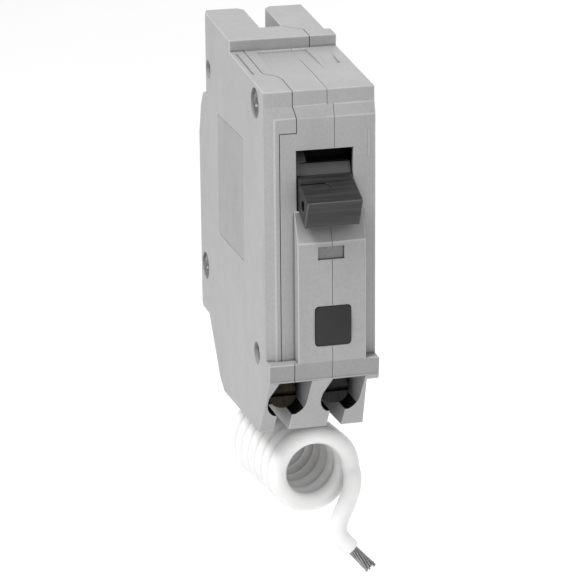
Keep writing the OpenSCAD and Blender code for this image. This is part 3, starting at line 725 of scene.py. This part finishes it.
def make_case():
    for node, groups in CUTS.items():
        cutters = bmesh.new()
        for group in groups:
            for a, b, n in SEAMS[group]:
                saw_cut(cutters, a, b, n, *SEAM_SIZE[group])
        bm = carved(lean_ledge(round_window(cad_bmesh(node))), cutters)
        # the rounded edges take the lighter edge finish as a painted highlight
        soften(bm, 0.22 * MM, 15, highlight_index=SHELL_HIGHLIGHT, spare=LEFT_SHARP)
        for f in bm.faces:
            if f.material_index in (0, SHELL_HIGHLIGHT):
                f.material_index = case_finish(f) or f.material_index
        if node == "right_cover":
            # fine raised line beside the handle, in the lighter edge finish as a painted highlight
            made = block(bm, row(11.0, -0.1, 46), row(11.3, 0.3, 52.4))
            for f in {f for v in made for f in v.link_faces}:
                f.material_index = SHELL_HIGHLIGHT
        piece(node + "_shell", bm, node, smooth=14,
              extra=[SEAM_SHADE, CHAMBER_BLACK_SHADE, CASE_EDGE_HIGHLIGHT, BAY_SHADE, LEDGE_SHADE, SLOPE_SHADOW])


def petals(a, r, h):
    """Six notches that open the rolled end of a rivet: a point's radius and height in metres, moved."""
    r, h = r / MM, h / MM
    bite = max(0.0, math.cos(6 * a)) ** 3
    out = max(0.0, (r - 1.3) / 1.6) if h <= 0 else 0.0
    return (r - 0.75 * bite * out) * MM, (h + 0.2 * bite * out) * MM


def make_rivets():
    """Rolled tube ends on the left, split as the tool leaves them, and flat heads on the right."""
    bm = bmesh.new()
    half = HALF_WIDTH
    for y, z, head_r, sunk in ((8.2, 57.9, 3.5, 0.7), (58.6, 5.8, 3.3, 0.7), (8.9, -0.6, 2.6, 1.4)):
        x = sunk - half
        lip = min(head_r - 0.3, 2.9)
        profile = [(1.1, 3.5), (1.1, 0.1), (1.35, -0.32), (1.9, -0.5), (lip - 0.3, -0.38), (lip, -0.1),
                   (lip - 0.15, 0.0), (1.6, 0.0), (1.6, 3.5)]
        lathe(bm, row(x, y, z), (1, 0, 0), metres(profile), 72, closed=True, wobble=petals)
        shank = [(1.6, 3.5 + x), (1.6, half - 0.4), (2.7, half - 0.7), (2.7, half - 0.22), (2.55, half - 0.1),
                 (0.0001, half - 0.1)]
        lathe(bm, row(0, y, z), (1, 0, 0), metres(shank), 48)
    piece("case_rivets_rolled", bm, "case_rivets", finish=RIVET_STEEL)


def make_handle():
    bm = cad_bmesh("handle")
    # the rounded edges take a lighter finish as a painted highlight
    soften(bm, 0.22 * MM, 25, highlight_index=HANDLE_HIGHLIGHT)
    for f in bm.faces:
        x, y, z = working(f.calc_center_median())
        # the side pocket and the hollow behind the drum take the near-black painted shade
        pocket = x < -4.05 and math.hypot(y + 4.4, z - 37) < 1.25
        if pocket or (z > 44.8 and y > 1.6 and x > -2.7):
            f.material_index = SHADED_HOLLOW
        elif z > 42.3 and y > 0.1:
            f.material_index = DRUM
    # the groove on the lip ends in a small hook, a thin tube in the near-black painted shade
    hook = smooth_path([(0.4, -2.35, 41.12), (0.95, -2.55, 41.03), (1.3, -2.95, 40.87), (1.35, -3.4, 40.7)], 4)
    count = len(bm.faces)
    tube(bm, [row(*p) for p in hook], 0.14 * MM, 6)
    paint_from(bm, count, SHADED_HOLLOW)
    piece("toggle_handle", bm, "handle", extra=[DARK_EDGE_HIGHLIGHT, CHAMBER_BLACK_SHADE, DRUM_GREY], smooth=20, finish=HANDLE_DARK)


def make_button():
    bm = cad_bmesh("test_button")
    corners = [e for e in bm.edges if abs((e.verts[0].co - e.verts[1].co).normalized().y) > 0.99
               and e.calc_length() > 1.5 * MM and e.is_convex]
    round_corners(bm, corners, 1.0)
    soften(bm, 0.15 * MM, 35)
    piece("push_button", bm, "test_button", smooth=24, finish=BUTTON_BLACK)


make_case()
make_rivets()
make_handle()
make_button()


# ---------------------------------------------------------------- inside
def wound(name, node, start, end, radius, wire_r, turns, steps=18):
    """Helical wire spring between two working-axes points."""
    a, b = row(*start), row(*end)
    axis = (b - a).normalized()
    u = axis.orthogonal().normalized()
    v = axis.cross(u)
    a, b = a + axis * wire_r * MM, b - axis * wire_r * MM
    line = []
    for i in range(turns * steps + 1):
        t = i / (turns * steps)
        angle = TAU * turns * t
        line.append(a.lerp(b, t) + spoke(u, v, angle) * radius * MM)
    bm = bmesh.new()
    tube(bm, line, wire_r * MM, 8)
    piece(name, bm, node, smooth=50)


def make_springs():
    arm_pivot, arm_open, length = (16.5, 38), -20, 8
    tilt = math.radians(35)
    foot = (-2, 19.5, 41.5)
    tip = (-2, 19.5 + length * math.sin(tilt), 41.5 + length * math.cos(tilt))
    wound("operating_spring_wire", "operating_spring", about_x(foot, arm_pivot, arm_open),
          about_x(tip, arm_pivot, arm_open), 1.16, 0.23, 15)
    wound("button_spring_wire", "button_spring", (3.9, 2.65, 8.4), (3.9, 8.55, 8.4), 1.46, 0.22, 7)


def make_toroid(name, node, x0, x1, wraps, wire_r, winding):
    """Ring core under a close winding that runs round its section."""
    bm = bmesh.new()
    inner, outer, edge = 3.6 + 2 * wire_r, 8.0 - 2 * wire_r, 0.5
    low, high = 2 * wire_r, x1 - x0 - 2 * wire_r
    section = [(inner + edge, low), (outer - edge, low), (outer, low + edge), (outer, high - edge),
               (outer - edge, high), (inner + edge, high), (inner, high - edge), (inner, low + edge)]
    origin = row(x0, *COIL_CENTRE)
    lathe(bm, origin, (1, 0, 0), metres(section), 72, closed=True)
    line = []
    steps = 14
    middle_r, middle_h = (inner + outer) / 2, (low + high) / 2
    half_r, half_h = (outer - inner) / 2 + wire_r, (high - low) / 2 + wire_r
    for i in range(wraps * steps + 1):
        a = TAU * 0.94 * i / (wraps * steps)
        s = TAU * i / steps
        c, d = math.cos(s), math.sin(s)
        r = middle_r + half_r * math.copysign(abs(c) ** 0.35, c)
        h = middle_h + half_h * math.copysign(abs(d) ** 0.35, d)
        line.append(origin + Vector((h, r * math.cos(a), r * math.sin(a))) * MM)
    covered = len(bm.faces)
    tube(bm, line, wire_r * MM, 6)
    paint_from(bm, covered, SECOND)
    piece(name, bm, node, extra=[MATERIALS[winding]], smooth=60)


def make_solenoid():
    """Fine wire in even turns over the bobbin."""
    bm = bmesh.new()
    turns, length = 36, 13.9
    pitch = length / turns
    rim = []
    for i in range(turns):
        y = i * pitch
        rim += [(3.34, y + 0.02), (3.46, y + pitch * 0.3), (3.46, y + pitch * 0.7)]
    profile = [(2.52, 0.0), *rim, (3.34, length), (2.52, length)]
    lathe(bm, row(5.9, 20.05, 37), (0, 1, 0), metres(profile), 40, closed=True)
    piece("solenoid_coil", bm, "solenoid_winding", smooth=70)


def make_braid():
    """Six copper bundles laid round a seventh, between the bimetal and the contact arm."""
    path = smooth_path([(-4.6, 45.1, 27), (-3.2, 44.9, 30), (-1.4, 43, 31.4), (-1.3, 39, 31.5),
                        (-1.6, 35, 32.8), (-3.2, 30, 35.6), (-5, 24.8, 39.2)], 8)
    bm = bmesh.new()
    last = len(path) - 1
    for k in range(7):
        line = []
        u = Vector((0, 0, 1))
        for i, p in enumerate(path):
            t = (path[min(i + 1, last)] - path[max(i - 1, 0)]).normalized()
            u = (u - t * u.dot(t)).normalized()
            a = TAU * (k / 6 + 5.5 * i / last)
            off = 0.0 if k == 6 else 0.56
            line.append(row(*(p + spoke(u, t.cross(u), a) * off)))
        tube(bm, line, 0.3 * MM, 7)
    piece("flexible_braid_rope", bm, "flexible_braid", smooth=60)


def make_board():
    """The board with a solder fillet at each leg."""
    bm = cad_bmesh("circuit_board")
    soften(bm, 0.12 * MM)
    count = len(bm.faces)
    joints = [(y, z) for y in (15, 19, 23, 36, 45, 51) for z in (1, 9, 26)]
    joints += [(24.6 + 2.1 * i, z) for i in range(4) for z in (18.4, 25.4)]
    for y, z in joints:
        r = random.uniform(0.55, 0.75)
        lathe(bm, row(10.78, y + random.uniform(-0.4, 0.4), z), (1, 0, 0),
              metres([(r, 0), (r * 0.8, 0.08), (0.3, 0.25), (0.22, 0.36)]), 14)
    paint_from(bm, count, SECOND)
    piece("circuit_board_etched", bm, "circuit_board", extra=[SOLDER])


def make_components():
    # capacitor: crimped can with a scored vent
    bm = bmesh.new()
    can = [(0.05, 0), (2.3, 0), (2.6, 0.12), (2.75, 0.4), (2.75, 1.0), (2.55, 1.25), (2.55, 1.5), (2.9, 1.8),
           (2.98, 2.1), (2.98, 10.4), (2.85, 10.8), (2.5, 10.98), (2.2, 10.9), (0.05, 10.82)]
    lathe(bm, row(6.2, 27.5, 4), (0, 0, 1), metres(can), 48)
    piece("capacitor_can", bm, "storage_capacitor")
    # varistor: dipped disc
    bm = bmesh.new()
    disc = [(0.05, 0), (3.0, 0.05), (3.9, 0.35), (4.3, 0.9), (4.38, 1.6), (4.3, 2.3), (3.9, 2.85), (3.0, 3.15),
            (0.05, 3.2)]
    lathe(bm, row(6.4, 19, 22), (1, 0, 0), metres(disc), 48)
    piece("varistor_disc", bm, "varistor")
    # controller chip with gull-wing legs
    bm = cad_bmesh("controller_chip")
    soften(bm, 0.18 * MM)
    count = len(bm.faces)
    for i in range(4):
        y = 24.9 + 1.9 * i
        for z, s in ((19.5, -1), (24.5, 1)):
            leg = [(8.8, y, z - s * 0.3), (8.8, y, z + s * 0.35), (9.05, y, z + s * 0.5),
                   (9.4, y, z + s * 0.55), (9.5, y, z + s * 1.0)]
            tube(bm, [row(*p) for p in leg], 0.17 * MM, 6)
    paint_from(bm, count, SECOND)
    piece("controller_chip_legged", bm, "controller_chip", extra=[SOLDER])
    # diodes with a raised cathode band
    bm = bmesh.new()
    body = [(0.2, 0), (0.7, 0.02), (0.98, 0.2), (0.98, 3.7), (0.94, 3.75), (0.94, 4.3), (0.98, 4.35),
            (0.98, 4.8), (0.7, 4.98), (0.2, 5)]
    for i in range(4):
        lathe(bm, row(8.4, 14.5 + 2.6 * i, 6), (0, 0, 1), metres(body), 24)
    piece("rectifier_diode_set", bm, "rectifier_diodes")
    # resistors with thickened end caps
    bm = bmesh.new()
    body = [(0.15, 0), (0.6, 0.05), (0.88, 0.35), (0.88, 1.1), (0.74, 1.5), (0.74, 4.0), (0.88, 4.4),
            (0.88, 5.15), (0.6, 5.45), (0.15, 5.5)]
    for i in range(3):
        lathe(bm, row(8.4, 27, 26.4 + 2.2 * i), (0, 1, 0), metres(body), 24)
    piece("resistor_set", bm, "resistors")


make_springs()
make_toroid("sensing_transformer_wound", "sensing_transformer", 2.0, 5.2, 70, 0.14, "enamelled_wire")
make_toroid("neutral_transformer_wound", "neutral_transformer", 5.6, 8.6, 46, 0.2, "wound_tape")
make_solenoid()
make_braid()
make_board()
make_components()

# every other node keeps its CAD shape, with its edges broken by so many millimetres
EDGE = {"rating_label": 0.02, "line_jaw": 0.1, "jaw_spring": 0.06, "arc_chute_plates": 0.1,
        "arc_chute_sides": 0.08, "moving_contact": 0.15, "fixed_contact": 0.15, "indicator_lens": 0.15}
# the terminal screws and lugs sit in the bays in near-black painted shade
BAY_SHADED_METAL = {"hot_terminal_screw": SHADED_BRASS, "hot_lug": SHADED_BRASS, "neutral_terminal_screw": SHADED_PLATE,
        "neutral_lug": SHADED_PLATE}
for node in sorted(frame["nodes"]):
    if node not in BUILT:
        bm = cad_bmesh(node)
        soften(bm, EDGE.get(node, 0.15) * MM)
        piece(node + "_finished", bm, node, finish=BAY_SHADED_METAL.get(node))


# ---------------------------------------------------------------- floor and light
def make_stage():
    floor = bpy.data.meshes.new("floor")
    bm = bmesh.new()
    bmesh.ops.create_grid(bm, x_segments=8, y_segments=8, size=6)
    bm.to_mesh(floor)
    bm.free()
    s = Shader("floor_paper", 0.9, Emission_Color=(1, 1, 1, 1), Emission_Strength=0.1)
    s.colour(s.ramp(s.noise(6, 3), [(0.3, grey(0.93)), (0.7, grey(0.95))]))
    s.bumps((s.noise(500, 3), 0.05, 0.0002),)
    floor.materials.append(s.material)
    o = place("floor", floor)
    o.location = (0, 0, -0.2)
    world = bpy.data.worlds.new("studio")
    world.use_nodes = True
    background = next(n for n in world.node_tree.nodes if n.type == "BACKGROUND")
    background.inputs["Color"].default_value = (1, 1, 1, 1)
    background.inputs["Strength"].default_value = 0.58
    bpy.context.scene.world = world


def lamp(name, direction, distance, size, power):
    """Square soft box that faces the object from a direction."""
    data = bpy.data.lights.new(name, "AREA")
    data.shape, data.size, data.energy = "SQUARE", size, power
    o = place(name, data)
    towards = Vector(direction).normalized()
    o.location = Vector((0, -0.035, 0)) + towards * distance
    o.rotation_mode = "QUATERNION"
    o.rotation_quaternion = towards.to_track_quat("Z", "Y")


make_stage()
lamp("key", (-0.5, -0.25, 0.85), 1.5, 0.5, 18)
lamp("front", (0.25, -1.0, 0.3), 1.6, 1.2, 2)
lamp("fill", (0.5, 0.8, 0.5), 1.8, 1.4, 5)
bpy.context.scene.view_settings.view_transform = "Standard"
